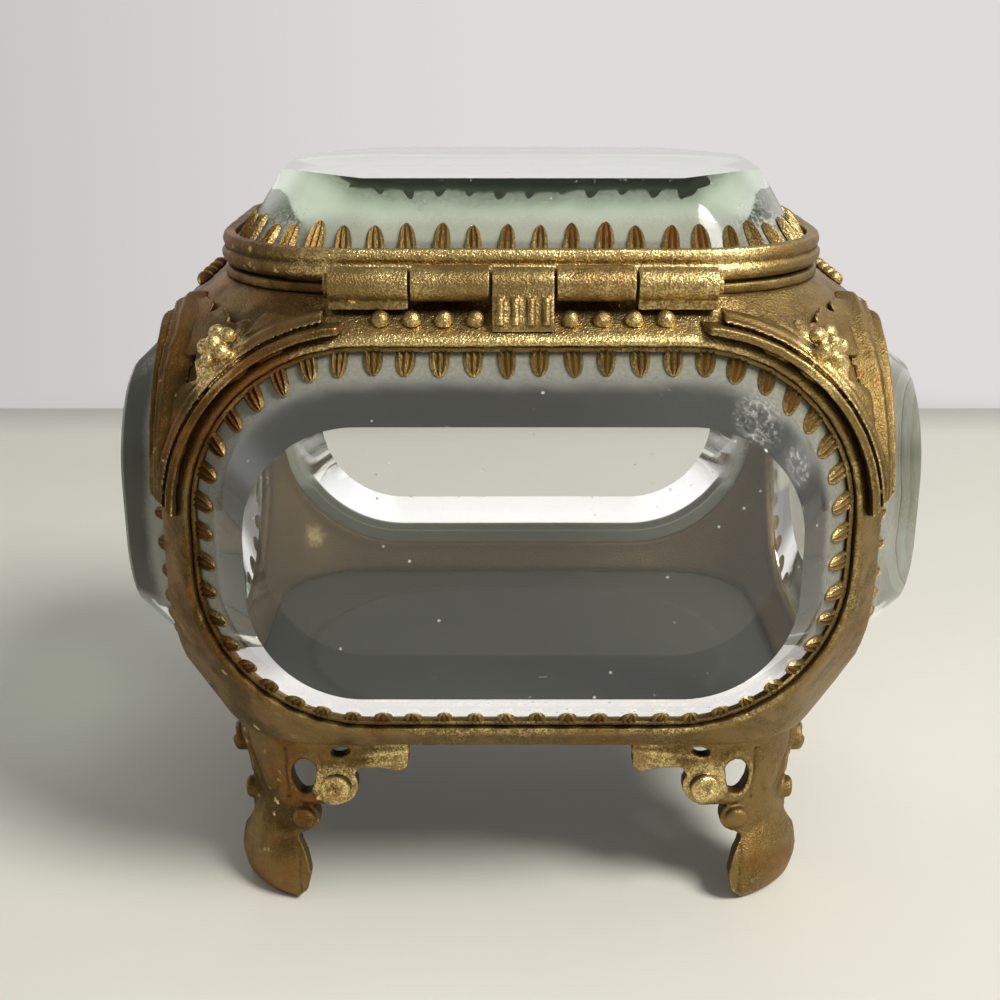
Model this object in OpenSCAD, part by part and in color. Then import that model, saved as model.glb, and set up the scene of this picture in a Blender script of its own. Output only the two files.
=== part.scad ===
// Small keepsake casket: thick bevelled glass panes held by folded claws in a gilt cast body,
// a hinged lid of the same make, and four pierced scroll feet.
// Origin: on the floor, under the middle of the box. +Z is up and the hinge is on the -Y side.

/* [Body] */
// Width over the left and right faces, without the glass
body_w = 83; // [78:1:92]
// Depth over the back and front faces, without the glass
body_d = 65; // [61:1:74]
// Height of the underside of the body over the floor
foot_h = 23.4; // [20:0.2:27]
// Height of the rail below the openings
bottom_rail_h = 3.6; // [3.4:0.1:5]
// Height of the rail above the openings, up to the collar
top_rail_h = 4.6; // [4:0.1:6]
// Depth of the cast wall, from the face to the cavity
wall = 3.9; // [3.6:0.1:4.4]
// How far the collar's edge stands in from the back and front faces
shoulder_d = 5.9; // [5.2:0.1:7]
// How far the collar's edge stands in from the side faces
shoulder_w = 5.3; // [4.6:0.1:7]
// How far the underside stands in from the side faces
waist_w = 3.5; // [2.5:0.1:5]
// How far the underside stands in from the back and front faces
waist_d = 2; // [1.5:0.1:4]
// Corner radius of the underside
waist_r = 14.5; // [12.5:0.5:16]

/* [Openings] */
// Height of the four glazed openings
opening_h = 46.6; // [43:0.2:50]
// Corner radius of the glazed openings
opening_r = 20; // [16:0.5:21]
// Width of the corner post beside a back or front opening
post_w = 3.5; // [3.3:0.1:5]
// Width of the corner post beside a side opening
post_d = 4; // [3.8:0.1:5]
// Width of the raised lip round each opening
lip_w = 1.2; // [0.8:0.1:1.5]
// Height of the raised lip over the face
lip_h = 0.5; // [0.3:0.1:0.8]
// Width of the ledge behind each pane
ledge_w = 2; // [1.4:0.1:2.4]

/* [Glass] */
// Thickness of a pane at its rim
glass_rim = 1.7; // [1.3:0.1:1.9]
// Width of the ground bevel
bevel_w = 6.4; // [5:0.1:8]
// How far the middle of a side pane stands out from the face
glass_proud = 6.9; // [5:0.1:8]
// Gap round a pane and round its claw strip
glass_gap = 0.1; // [0.05:0.01:0.12]

/* [Claws] */
// Spacing of the claws along their strip
claw_pitch = 3.8; // [3.4:0.1:5]
// Width of a claw at its root
claw_w = 2.1; // [1.6:0.1:2.5]
// Length of a claw on a side pane
claw_l = 3.5; // [2.6:0.1:4.2]
// Length of a claw on the lid
lid_claw_l = 4; // [3:0.1:4.6]
// Thickness of the strip and its claws
claw_t = 0.6; // [0.5:0.05:0.7]
// Air left between a claw and the bevel
claw_lift = 0.12; // [0.08:0.01:0.2]

/* [Lid] */
// How far the lid frame stands out over the collar's left and right edges
lid_over_w = 0.3; // [0.1:0.1:0.8]
// How far the lid frame stands out over the collar's back and front edges
lid_over_d = 0.4; // [0.1:0.1:0.8]
// Corner radius of the lid frame
lid_r = 18; // [15:0.5:20]
// Height of the lid frame
lid_h = 3.6; // [3.4:0.1:4.4]
// Thickness of the lid frame's wall outside the pane
lid_wall = 1.7; // [1.4:0.1:2.2]
// Thickness of the lid frame's ledge under the pane
lid_ledge_t = 0.7; // [0.6:0.1:0.9]
// How far the lid's pane stands over the lid frame
lid_proud = 7; // [5:0.1:8]
// Width of the ground bevel along the sides of the lid's pane
lid_bevel_w = 5; // [4:0.1:6.5]
// Length of the cut corners of the lid pane's flat, along each side
lid_cut = 10.5; // [7:0.5:13]
// Gap between the closed lid and the collar
lid_gap = 0.3; // [0.2:0.05:0.4]
// Thickness of the collar plate
collar_t = 1.2; // [1:0.1:1.6]
// Width of the collar plate
collar_w = 3.4; // [3:0.1:4]
// Width of the thumbpiece at the lid's front
thumb_w = 9; // [6:0.5:12]
// How far the thumbpiece stands out from the lid
thumb_l = 2.6; // [2:0.1:3.4]

/* [Hinge] */
// Outer diameter of the hinge barrel
barrel_d = 3.8; // [3.4:0.1:4.2]
// Diameter of the hinge pin
pin_d = 1.5; // [1.2:0.1:1.9]
// Running clearance between the pin and a knuckle, on the radius
pin_clear = 0.05; // [0.03:0.01:0.08]
// Length of the hinge barrel
barrel_l = 43; // [36:0.5:44]
// Width of the middle knuckle and its strap
strap_w = 6.8; // [5:0.2:8]
// Length of an outer knuckle
outer_knuckle = 8.8; // [7:0.1:10]
// Gap between two knuckles, and between the barrel and the lid frame
knuckle_gap = 0.3; // [0.2:0.05:0.4]
// Thickness of the ribbed strap and of the hinge leaves
strap_t = 0.9; // [0.7:0.1:1.1]
// Number of ribs on the strap
strap_ribs = 4; // [2:1:5]

/* [Floor] */
// Thickness of the floor sheet
floor_t = 0.8; // [0.5:0.1:0.9]
// Height of the oval panel pressed up in the floor sheet
floor_press = 0.4; // [0.2:0.1:0.7]
// Distance of the pressed oval from the edge of the floor sheet
floor_border = 8; // [6:0.5:11]
// Width of the flange that the floor sheet bears on
flange_w = 1.6; // [1.2:0.1:2]

/* [Ornament] */
// Diameter of a bead on the rails
bead_d = 2.2; // [1.6:0.1:2.4]
// Spacing of the beads
bead_pitch = 3.5; // [3:0.1:5]
// Thickness of the leaf castings on the upper corners
leaf_t = 0.7; // [0.5:0.1:1]
// Width of a rib on the leaf castings
rib_w = 0.9; // [0.6:0.1:1.1]
// Diameter of the flower's button on the leaf castings
button_d = 4.6; // [3.6:0.2:5.4]
// Thickness of a foot's shell
foot_t = 2; // [1.5:0.1:2.4]
// Radius of a foot's shell at its top
foot_r = 14; // [12:0.1:15]
// How far a foot stands in from the edge of the underside
foot_in = 1.2; // [0.8:0.1:2]
// Length of a foot's leaf along the rail, past the centre of its curve
foot_leaf_l = 9; // [8:0.2:11]
// Width of the raised oval on a foot's stem
foot_oval_w = 3.4; // [2.6:0.1:4]

/* [Hidden] */
gilt = "darkgoldenrod";
bright = "goldenrod";
tin = "dimgray";
clear_glass = [0.72, 0.82, 0.78, 0.45];

corner_steps = 10;      // flat steps to a rounded corner
skin = 0.01;            // thickness of the slices that the body is stretched over
past = 1;               // how far a cutter runs past the face that it cuts
$fn = 48;

// Levels, from the floor up
open_z0 = foot_h + bottom_rail_h;
open_z1 = open_z0 + opening_h;
open_zc = (open_z0 + open_z1) / 2;
collar_z0 = open_z1 + top_rail_h;
collar_z1 = collar_z0 + collar_t;
lid_z0 = collar_z1 + lid_gap;
lid_z1 = lid_z0 + lid_h;

// Openings and what fits in them
back_open_w = body_w - 2 * post_w;
side_open_w = body_d - 2 * post_d;
foot_of_bevel = 0.9;                          // depth of the bevel's lower edge under the face
seat_depth = glass_rim + foot_of_bevel;
pane_inset = claw_t + 2 * glass_gap;          // from the opening's edge to the pane

// Collar and underside
top_w = body_w - 2 * shoulder_w;
top_d = body_d - 2 * shoulder_d;
top_r = lid_r - 0.5;
under_w = body_w - 2 * waist_w;
under_d = body_d - 2 * waist_d;
floor_edge = 1.4;                             // rim of the underside outside the floor sheet
floor_z1 = foot_h + 1;
floor_z0 = floor_z1 - floor_t;
flange_t = 1.2;
floor_hole = floor_edge + flange_w;

// Lid
lid_w = top_w + 2 * lid_over_w;
lid_d = top_d + 2 * lid_over_d;
lid_seat = lid_wall + ledge_w;
lid_pane_w = lid_w - 2 * (lid_wall + pane_inset);
lid_pane_d = lid_d - 2 * (lid_wall + pane_inset);
lid_pane_r = lid_r - lid_wall - pane_inset;
lid_rim_z = lid_ledge_t + glass_rim;          // top of the pane's rim over the lid frame's underside
lid_flat = [lid_pane_w - 2 * lid_bevel_w, lid_pane_d - 2 * lid_bevel_w];

// Hinge
axis_y = -lid_d / 2 - barrel_d / 2 - knuckle_gap;
axis_z = lid_z0 + 0.2;
bore_d = pin_d + 2 * pin_clear;
lid_knuckle = (barrel_l - strap_w) / 2 - outer_knuckle - 2 * knuckle_gap;
lid_knuckle_x = strap_w / 2 + knuckle_gap;
shelf_z = collar_z0 - 1;                      // flat seat in the rail under the hinge
shelf_y = -top_d / 2 - 0.2;

// ---------- outlines and sweeps ----------

// Points of a rounded rectangle, anticlockwise, as many for every size
function outline(w, h, r) =
    [for (c = [0:3], i = [0:corner_steps])
        let (a = 90 * (c + i / corner_steps), sx = c == 0 || c == 3 ? 1 : -1, sy = c < 2 ? 1 : -1)
        [sx * (w / 2 - r) + r * cos(a), sy * (h / 2 - r) + r * sin(a)]];

// Points of a rectangle whose corners are cut straight
function cut_rectangle(w, h, cut) =
    let (x = w / 2, y = h / 2)
    [[x, y - cut], [x - cut, y], [cut - x, y], [-x, y - cut],
     [-x, cut - y], [cut - x, -y], [x - cut, -y], [x, cut - y]];

function arc(center, r, a0, a1, n = 6) =
    [for (i = [0:n]) center + r * [cos(a0 + (a1 - a0) * i / n), sin(a0 + (a1 - a0) * i / n)]];

module rounded_plate(w, h, r, t)
    linear_extrude(t) polygon(outline(w, h, r));

module rounded_ring(w, h, r, rim, t)
    linear_extrude(t) difference() {
        polygon(outline(w, h, r));
        polygon(outline(w - 2 * rim, h - 2 * rim, r - rim));
    }

// A profile of [out, up] points swept round a rounded rectangle
module moulding(w, h, r, profile) {
    for (turn = [0:3]) {
        even = turn % 2 == 0;
        reach = (even ? w : h) / 2;
        run = (even ? h : w) - 2 * r;
        side = (even ? h : w) / 2 - r;
        rotate([0, 0, 90 * turn]) {
            translate([reach - r, side, 0]) rotate_extrude(angle = 90)
                polygon([for (p = profile) p + [r, 0]]);
            translate([reach, side, 0]) rotate([90, 0, 0]) linear_extrude(run) polygon(profile);
        }
    }
}

// ---------- placing ----------

function turn_of(side) = side == "back" ? 0 : side == "right" ? 90 : side == "front" ? 180 : 270;
function is_long(side) = side == "back" || side == "front";
function open_w(side) = is_long(side) ? back_open_w : side_open_w;

// Children drawn flat, with +Y up and +Z outwards, moved to one face of the body
module on_face(side) {
    rotate([0, 0, turn_of(side)]) translate([0, -(is_long(side) ? body_d : body_w) / 2, open_zc])
        rotate([90, 0, 0]) children();
}

// Children drawn at the back right corner, moved to one of the four corners
module at_corner(x, y)
    mirror([x < 0 ? 1 : 0, 0, 0]) mirror([0, y > 0 ? 1 : 0, 0]) children();

// ---------- body ----------

sides = ["back", "front", "left", "right"];

// Cushion shape stretched over the lips of the openings, the collar's edge and the underside
module cushion(grow = 0, over = sides) {
    rim = 2 * (lip_w + grow);
    hull() {
        for (side = over)
            on_face(side) translate([0, 0, grow - skin])
                rounded_plate(open_w(side) + rim, opening_h + rim, opening_r + rim / 2, skin);
        translate([0, 0, collar_z0 - skin])
            rounded_plate(top_w + 2 * grow, top_d + 2 * grow, top_r + grow, skin);
        if (over == sides)
            translate([0, 0, foot_h])
                rounded_plate(under_w + 2 * grow, under_d + 2 * grow, waist_r + grow, skin);
    }
}

module cavity() {
    hull() {
        for (side = sides)
            on_face(side) translate([0, 0, -wall])
                rounded_plate(open_w(side) - ledge_w, opening_h - ledge_w, opening_r - ledge_w / 2, skin);
        translate([0, 0, collar_z0])
            rounded_plate(top_w - 2 * collar_w, top_d - 2 * collar_w, top_r - collar_w, skin);
        translate([0, 0, floor_z1 + flange_t])
            rounded_plate(under_w - 2 * floor_hole, under_d - 2 * floor_hole, waist_r - floor_hole, skin);
    }
}

// Pocket for a pane and its claw strip, with the window behind it
module glazing_cut(side) {
    w = open_w(side);
    on_face(side) {
        translate([0, 0, -seat_depth]) rounded_plate(w, opening_h, opening_r, seat_depth + lip_h + past);
        translate([0, 0, -wall - past])
            rounded_plate(w - 2 * ledge_w, opening_h - 2 * ledge_w, opening_r - ledge_w, wall + past);
    }
}

// Raised lip round an opening, narrower at its crest
module lip(side) {
    w = open_w(side);
    on_face(side) hull() {
        rounded_plate(w + 2 * lip_w, opening_h + 2 * lip_w, opening_r + lip_w, skin);
        translate([0, 0, lip_h - skin])
            rounded_plate(w + lip_w, opening_h + lip_w, opening_r + lip_w / 2, skin);
    }
}

module body_frame() color(gilt) {
    difference() {
        union() {
            cushion();
            for (side = sides) lip(side);
        }
        cavity();
        for (side = sides) glazing_cut(side);
        // mouth
        translate([0, 0, collar_z0 - past])
            rounded_plate(top_w - 2 * collar_w, top_d - 2 * collar_w, top_r - collar_w, 2 * past);
        // rebate for the floor sheet, and the hole in its flange
        translate([0, 0, foot_h - past])
            rounded_plate(under_w - 2 * floor_edge, under_d - 2 * floor_edge, waist_r - floor_edge,
                          floor_z1 - foot_h + past);
        translate([0, 0, foot_h])
            rounded_plate(under_w - 2 * floor_hole, under_d - 2 * floor_hole, waist_r - floor_hole,
                          floor_z1 + flange_t - foot_h + past);
        // seat for the hinge
        translate([-barrel_l / 2 - knuckle_gap, shelf_y - shoulder_d, shelf_z])
            cube([barrel_l + 2 * knuckle_gap, shoulder_d, 2 * past]);
    }
}

module top_collar() color(gilt)
    translate([0, 0, collar_z0]) rounded_ring(top_w, top_d, top_r, collar_w, collar_t);

// Sheet with an oval panel pressed up in it
module floor_sheet() color(tin) {
    w = under_w - 2 * (floor_edge + glass_gap);
    d = under_d - 2 * (floor_edge + glass_gap);
    panel_w = w - 2 * floor_border;
    panel_d = d - 2 * floor_border;
    translate([0, 0, floor_z0]) difference() {
        union() {
            rounded_plate(w, d, waist_r - floor_edge - glass_gap, floor_t);
            rounded_plate(panel_w, panel_d, panel_d / 2, floor_t + floor_press);
        }
        translate([0, 0, -past])
            rounded_plate(panel_w - 2 * floor_t, panel_d - 2 * floor_t, panel_d / 2 - floor_t,
                          floor_press + past);
    }
}

// Beads seated on the flat slope between the collar and an opening's lip, none behind the strap
module bead_row(side) {
    in = is_long(side) ? shoulder_d : shoulder_w;
    drop = top_rail_h - lip_w;
    count = 2 * floor((open_w(side) - 2 * opening_r) / 2 / bead_pitch);
    place = 0.66;       // place down the slope
    rotate([0, 0, turn_of(side)])
        for (i = [0:count - 1]) {
            x = (i - (count - 1) / 2) * bead_pitch;
            if (side != "back" || abs(x) > (strap_w + bead_d) / 2 + knuckle_gap)
                translate([x, -(is_long(side) ? body_d : body_w) / 2 + in * (1 - place),
                           collar_z0 - drop * place])
                    rotate([atan2(drop, in), 0, 0]) difference() {
                        translate([0, 0, 0.1 * bead_d]) sphere(d = bead_d, $fn = 24);
                        translate([0, 0, -bead_d]) cube(2 * bead_d, center = true);
                    }
        }
}

module rail_beads() color(bright)
    for (side = sides) bead_row(side);

// ---------- glass ----------

// Pane with a plain rim, stretched to the flat that the children draw at its full height
module bevelled_pane(w, h, r, rise) {
    hull() {
        rounded_plate(w, h, r, glass_rim);
        translate([0, 0, glass_rim + rise - skin]) linear_extrude(skin) children();
    }
}

module side_pane(side) color(clear_glass) {
    w = open_w(side) - 2 * pane_inset;
    h = opening_h - 2 * pane_inset;
    r = opening_r - pane_inset;
    on_face(side) translate([0, 0, -seat_depth])
        bevelled_pane(w, h, r, glass_proud + foot_of_bevel)
            polygon(outline(w - 2 * bevel_w, h - 2 * bevel_w, r - bevel_w));
}

module lid_glass() color(clear_glass)
    translate([0, 0, lid_z0 + lid_ledge_t])
        bevelled_pane(lid_pane_w, lid_pane_d, lid_pane_r, lid_h + lid_proud - lid_rim_z)
            polygon(cut_rectangle(lid_flat.x, lid_flat.y, lid_cut));

// ---------- claws ----------

// Place and outward direction [x, y, angle] at length s along the first quarter of a rounded rectangle
function along(w, h, r, s) =
    let (up = h / 2 - r, bend = PI / 2 * r)
    s < up ? [w / 2, s, 0]
    : s < up + bend ? let (a = (s - up) / bend * 90) [w / 2 - r + r * cos(a), h / 2 - r + r * sin(a), a]
    : [w / 2 - r - (s - up - bend), h / 2, 90];

// Width of the bevel at a point of the rim, to the nearest corner of a flat with straight-cut corners
function run_to(flat, p) =
    let (out = [cos(p.z), sin(p.z)])
    [p.x, p.y] * out - max(flat / 2 * out - lid_cut * out.y, flat / 2 * out - lid_cut * out.x);

// One claw: a tongue along +X on the bevel, with its root in the strip and a ridge to its back
module claw(length) {
    root = -claw_t / 3;
    top = claw_lift + claw_t;
    half = claw_w / 2;
    points = [[root, -half, claw_lift], [0.65 * length, -0.85 * half, claw_lift],
              [length, -0.4 * half, claw_lift], [length, 0.4 * half, claw_lift],
              [0.65 * length, 0.85 * half, claw_lift], [root, half, claw_lift],
              [root, -half, 0.9 * top], [root, half, 0.9 * top], [0.6 * length, 0, 1.1 * top]];
    polyhedron(points, [[0, 1, 2, 3, 4, 5], [0, 5, 7, 6], [0, 6, 1], [5, 4, 7],
                        [6, 7, 8], [6, 8, 1], [1, 8, 2], [2, 8, 3], [3, 8, 4], [4, 8, 7]]);
}

// Strip round a pane's rim with its claws folded on to the bevel. The size is the pane's own.
module claw_ring(w, h, r, foot, rim, rise, length, flat = undef) {
    up = h / 2 - r;
    quarter = up + PI / 2 * r + w / 2 - r;
    count = round(quarter / claw_pitch);
    translate([0, 0, foot])
        rounded_ring(w + 2 * (glass_gap + claw_t), h + 2 * (glass_gap + claw_t),
                     r + glass_gap + claw_t, claw_t, rim - foot + claw_t);
    for (i = [0:count - 1]) {
        p = along(w, h, r, (i + 0.5) * quarter / count);
        tilt = atan(rise / (flat == undef ? bevel_w : run_to(flat, p)));
        for (x = [1, -1], y = [-1, 1])
            at_corner(x, y) mirror([0, 1, 0])
                translate([p.x, p.y, rim]) rotate([0, 0, p.z + 180]) rotate([0, -tilt, 0]) claw(length);
    }
}

module side_claws(side) color(bright)
    on_face(side)
        claw_ring(open_w(side) - 2 * pane_inset, opening_h - 2 * pane_inset, opening_r - pane_inset,
                  -seat_depth, -foot_of_bevel, glass_proud + foot_of_bevel, claw_l);

module lid_claws() color(bright)
    translate([0, 0, lid_z0])
        claw_ring(lid_pane_w, lid_pane_d, lid_pane_r, lid_ledge_t, lid_rim_z,
                  lid_h + lid_proud - lid_rim_z, lid_claw_l, lid_flat);

// ---------- corner leaves ----------

// Lobes of the leaves, as [centre from the flower, radius]: flower, hinge, side and post
leaf_lobes = [[[0, 0, 0], 5.2], [[-5, -0.6, 1.6], 3.8], [[-9, -0.8, 2.6], 2.2],
              [[3.2, 5.4, 1.4], 3.9], [[4.6, 10, 1.8], 2.9], [[5.4, 13.6, 1.6], 1.7],
              [[5, -1.4, -6], 3.6], [[6.2, -2, -10.6], 2.7], [[6.6, -2.2, -14.4], 1.9]];
leaf_reach = [15, 17, 22];      // how far the ribs run from the flower
leaf_boss = [7.6, 2.6, 0.6];    // flower's centre in from the side face, the back face and the opening's top
rib_rise = 0.5;                 // height of the ribs over the leaves

// Ribs beside the lip of one opening, drawn through the body
module lip_ribs(side)
    on_face(side) translate([0, 0, -opening_r])
        for (out = [lip_w + rib_w / 2, lip_w + 2 * rib_w])
            rounded_ring(open_w(side) + 2 * (out + rib_w), opening_h + 2 * (out + rib_w),
                         opening_r + out + rib_w, rib_w, 2 * opening_r);

// Flower of five petals round a button, facing +Z
module flower() {
    sphere(d = 0.5 * button_d, $fn = 10);
    for (turn = [0:72:288])
        rotate([0, 0, turn]) translate([0.4 * button_d, 0, -0.08 * button_d])
            sphere(d = 0.46 * button_d, $fn = 8);
}

// Leaves over an upper corner, with ribs that follow the two openings and a flower between them
module corner_leaf(x, y) color(bright) at_corner(x, y) {
    boss = [body_w / 2, -body_d / 2, open_z1] - [leaf_boss.x, -leaf_boss.y, leaf_boss.z];
    difference() {
        union() {
            intersection() {
                cushion(leaf_t, ["back", "right"]);
                for (lobe = leaf_lobes) translate(boss + lobe[0]) sphere(lobe[1], $fn = 8);
            }
            intersection() {
                cushion(leaf_t + rib_rise, ["back", "right"]);
                translate(boss) scale(leaf_reach) sphere(1, $fn = 12);
                union() for (side = ["back", "right"]) lip_ribs(side);
            }
            translate(boss) rotate([0, 54, -45]) translate([0, 0, leaf_t]) flower();
        }
        cushion(0, ["back", "right"]);
        for (side = ["back", "right"])
            on_face(side) translate([0, 0, -2 * opening_r])
                rounded_plate(open_w(side) + 2 * lip_w, opening_h + 2 * lip_w, opening_r + lip_w,
                              3 * opening_r);
        translate([0, -body_d / 2, collar_z0]) cube([body_w, body_d, body_w]);
        translate([0, -body_d, shelf_z - past]) cube([barrel_l / 2 + 2 * knuckle_gap, body_d, body_w]);
    }
}

// ---------- feet ----------

// Section of the foot's shell, as [radius, height]
foot_section =
    let (r = foot_r, h = foot_h,
         out = [[r, h], [r - 0.3, 0.82 * h], [r - 1.1, 0.66 * h], [r - 1.5, 0.53 * h], [r - 0.9, 0.41 * h],
                [r + 0.2, 0.27 * h], [r + 0.7, 0.14 * h], [r + 0.4, 0.04 * h], [r - 0.2, 0]])
    concat(out, [for (i = [len(out) - 1:-1:0]) out[i] - [foot_t, 0]]);

// Outline of half a foot seen square to the rail: curled leaf, big scroll, small scroll, waist and pad
foot_outline =
    let (h = foot_h, l = foot_leaf_l)
    concat([[2 * foot_r, -past], [2 * foot_r, h + past], [-l - 0.2, h + past], [-l, 0.95 * h]],
           arc([1.5 - l, 0.87 * h], 1.3, 160, 290, 4),
           [[-4.6, 0.85 * h], [-2.9, 0.84 * h]],
           arc([0.7, 0.72 * h], 3.2, 150, 280, 6),
           arc([4.4, 0.5 * h], 1.8, 110, 250, 5),
           [[5.4, 0.38 * h], [4.3, 0.29 * h], [3.7, 0.19 * h], [4.2, 0.09 * h], [6.4, -past]]);

// Piercings behind and above the big scroll, as [place, share of the height, width, share high]
foot_holes = [[4.2, 0.755, 3.5, 0.24], [-0.6, 0.93, 2.6, 0.06]];
hole_lean = 0.3;
foot_oval_t = 1.1;              // thickness of the oval on the stem

// Eyes of the big and the small scroll, as [place, share of the height, radius, reach inwards, length]
foot_eyes = [[0.2, 0.72, 1.6, 1.2, 1.7], [4.6, 0.5, 1.2, 2.6, 1.3]];

module half_foot() {
    difference() {
        intersection() {
            union() {
                rotate([0, 0, 45]) rotate_extrude(angle = 45) polygon(foot_section);
                translate([-foot_leaf_l - past, 0, 0]) rotate([90, 0, 90])
                    linear_extrude(foot_leaf_l + past) polygon(foot_section);
            }
            translate([0, 2 * foot_r, 0]) rotate([90, 0, 0]) linear_extrude(2 * foot_r) polygon(foot_outline);
        }
        for (hole = foot_holes)
            translate([hole[0], 2 * foot_r, hole[1] * foot_h]) rotate([90, 0, 0]) linear_extrude(2 * foot_r)
                polygon([for (a = [0:30:330])
                    [hole[2] / 2 * cos(a) - hole_lean * sin(a), hole[3] / 2 * foot_h * sin(a)]]);
    }
    for (eye = foot_eyes)
        translate([eye[0], foot_r - eye[3], eye[1] * foot_h]) rotate([-90, 0, 0])
            cylinder(r = eye[2], h = eye[4]);
}

module foot(x, y) color(gilt)
    at_corner(x, y)
        translate([under_w / 2 - foot_in - foot_r, -(under_d / 2 - foot_in - foot_r), 0]) mirror([0, 1, 0]) {
            half_foot();
            mirror([1, -1, 0]) half_foot();
            // oval on the stem
            rotate([0, 0, 45]) translate([foot_r - 1.1, 0, 0.74 * foot_h])
                scale([foot_oval_t, foot_oval_w, 0.3 * foot_h]) sphere(d = 1, $fn = 20);
        }

// ---------- hinge ----------

// Tube along the hinge's axis
module knuckle(x0, x1)
    translate([x0, axis_y, axis_z]) rotate([0, 90, 0]) cylinder(d = barrel_d, h = x1 - x0);

module hinge_bore()
    translate([-barrel_l, axis_y, axis_z]) rotate([0, 90, 0]) cylinder(d = bore_d, h = 2 * barrel_l);

module body_knuckles() color(bright)
    difference() {
        for (s = [-1, 1]) {
            x = s * barrel_l / 2;
            x0 = min(x, x - s * outer_knuckle);
            knuckle(x0, x0 + outer_knuckle);
            translate([x0, axis_y - barrel_d / 4, shelf_z])
                cube([outer_knuckle, shelf_y - axis_y + barrel_d / 4, axis_z - shelf_z - barrel_d / 4]);
        }
        hinge_bore();
    }

// Middle knuckle with a ribbed strap down the rail
module hinge_strap() color(bright) {
    lip_y = -body_d / 2 + 0.3;
    lip_z = open_z1 + lip_w;
    brow = [axis_y - barrel_d / 2 - 0.2, axis_z - 1.2];
    toe = [lip_y, lip_z + strap_t + 0.5];
    difference() {
        union() {
            knuckle(-strap_w / 2, strap_w / 2);
            translate([-strap_w / 2, 0, 0]) rotate([90, 0, 90]) linear_extrude(strap_w)
                polygon([[shelf_y, shelf_z], [shelf_y, axis_z - barrel_d / 4], [axis_y, axis_z],
                         [axis_y - barrel_d / 2, axis_z], brow, toe, [lip_y, lip_z + 0.3],
                         [shelf_y - 1.6, shelf_z]]);
            for (i = [0:strap_ribs - 1])
                translate([(i - (strap_ribs - 1) / 2) * strap_w / strap_ribs, brow.x, brow.y])
                    rotate([180 - atan2(brow.x - toe.x, brow.y - toe.y), 0, 0]) cylinder(d = 0.9, h = 3);
        }
        hinge_bore();
    }
}

module hinge_pin() color(tin)
    translate([-barrel_l / 2, axis_y, axis_z]) rotate([0, 90, 0]) {
        cylinder(d = pin_d, h = barrel_l);
        for (x = [-0.5, barrel_l]) translate([0, 0, x]) cylinder(d = pin_d + 0.9, h = 0.5);
    }

module lid_knuckles() color(bright)
    difference() {
        for (s = [-1, 1]) {
            x0 = s > 0 ? lid_knuckle_x : -lid_knuckle_x - lid_knuckle;
            knuckle(x0, x0 + lid_knuckle);
            translate([x0, axis_y, axis_z + barrel_d / 2 - strap_t - 0.3])
                cube([lid_knuckle, -lid_d / 2 - axis_y, strap_t + 0.2]);
        }
        hinge_bore();
    }

// ---------- lid ----------

lid_profile = [[-0.6, 0], [0, 0.7], [0, 1.5], [-0.5, 1.9], [-0.1, 2.6], [-0.4, lid_h], [-lid_wall, lid_h],
               [-lid_wall, lid_ledge_t], [-lid_seat, lid_ledge_t], [-lid_seat, 0]];

module lid_frame() color(gilt)
    translate([0, 0, lid_z0]) moulding(lid_w, lid_d, lid_r, lid_profile);

// Shell-shaped tab to lift the lid by
module lid_thumbpiece() color(bright)
    translate([0, lid_d / 2, lid_z0 + 0.9]) difference() {
        intersection() {
            translate([0, thumb_l - thumb_w / 2, 0]) cylinder(d = thumb_w, h = 1.2);
            translate([-thumb_w, 0, 0]) cube([2 * thumb_w, thumb_w, 2]);
        }
        for (a = [-40:20:40])
            translate([0, thumb_l - thumb_w / 2, 1.3]) rotate([-90, 0, a]) cylinder(d = 0.6, h = thumb_w);
    }

body_frame();
top_collar();
rail_beads();
floor_sheet();
side_pane("back");  // back_glass
side_pane("front");  // front_glass
side_pane("left");  // left_glass
side_pane("right");  // right_glass
side_claws("back");  // back_claws
side_claws("front");  // front_claws
side_claws("left");  // left_claws
side_claws("right");  // right_claws
corner_leaf(-1, -1);  // leaf_back_left
corner_leaf(1, -1);  // leaf_back_right
corner_leaf(-1, 1);  // leaf_front_left
corner_leaf(1, 1);  // leaf_front_right
foot(-1, -1);  // foot_back_left
foot(1, -1);  // foot_back_right
foot(-1, 1);  // foot_front_left
foot(1, 1);  // foot_front_right
body_knuckles();
hinge_strap();
hinge_pin();
lid_frame();
lid_claws();
lid_glass();
lid_knuckles();
lid_thumbpiece();
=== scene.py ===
import math
import random
from contextlib import contextmanager
from typing import NamedTuple

import bmesh
import bpy
from bpy.props import FloatProperty, FloatVectorProperty, IntProperty, PointerProperty
from mathutils import Matrix, Vector


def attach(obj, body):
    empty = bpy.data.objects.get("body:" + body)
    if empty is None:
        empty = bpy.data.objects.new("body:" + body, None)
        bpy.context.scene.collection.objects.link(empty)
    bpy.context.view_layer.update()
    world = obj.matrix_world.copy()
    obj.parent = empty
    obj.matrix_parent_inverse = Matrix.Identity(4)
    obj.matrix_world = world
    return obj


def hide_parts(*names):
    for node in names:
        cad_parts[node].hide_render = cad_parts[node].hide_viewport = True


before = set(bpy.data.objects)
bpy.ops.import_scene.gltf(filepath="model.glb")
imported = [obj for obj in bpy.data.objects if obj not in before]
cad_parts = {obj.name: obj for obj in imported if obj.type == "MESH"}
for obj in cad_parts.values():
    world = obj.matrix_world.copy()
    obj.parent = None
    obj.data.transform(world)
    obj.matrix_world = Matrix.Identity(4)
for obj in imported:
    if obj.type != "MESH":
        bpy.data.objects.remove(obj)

bl_info = {
    "name": "Glass Casket",
    "version": (1, 0, 0),
    "blender": (4, 5, 0),
    "location": "View3D > Sidebar > Casket",
    "description": "Dresses a keepsake casket of bevelled glass in gilt claw settings",
    "category": "Object",
}

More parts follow.
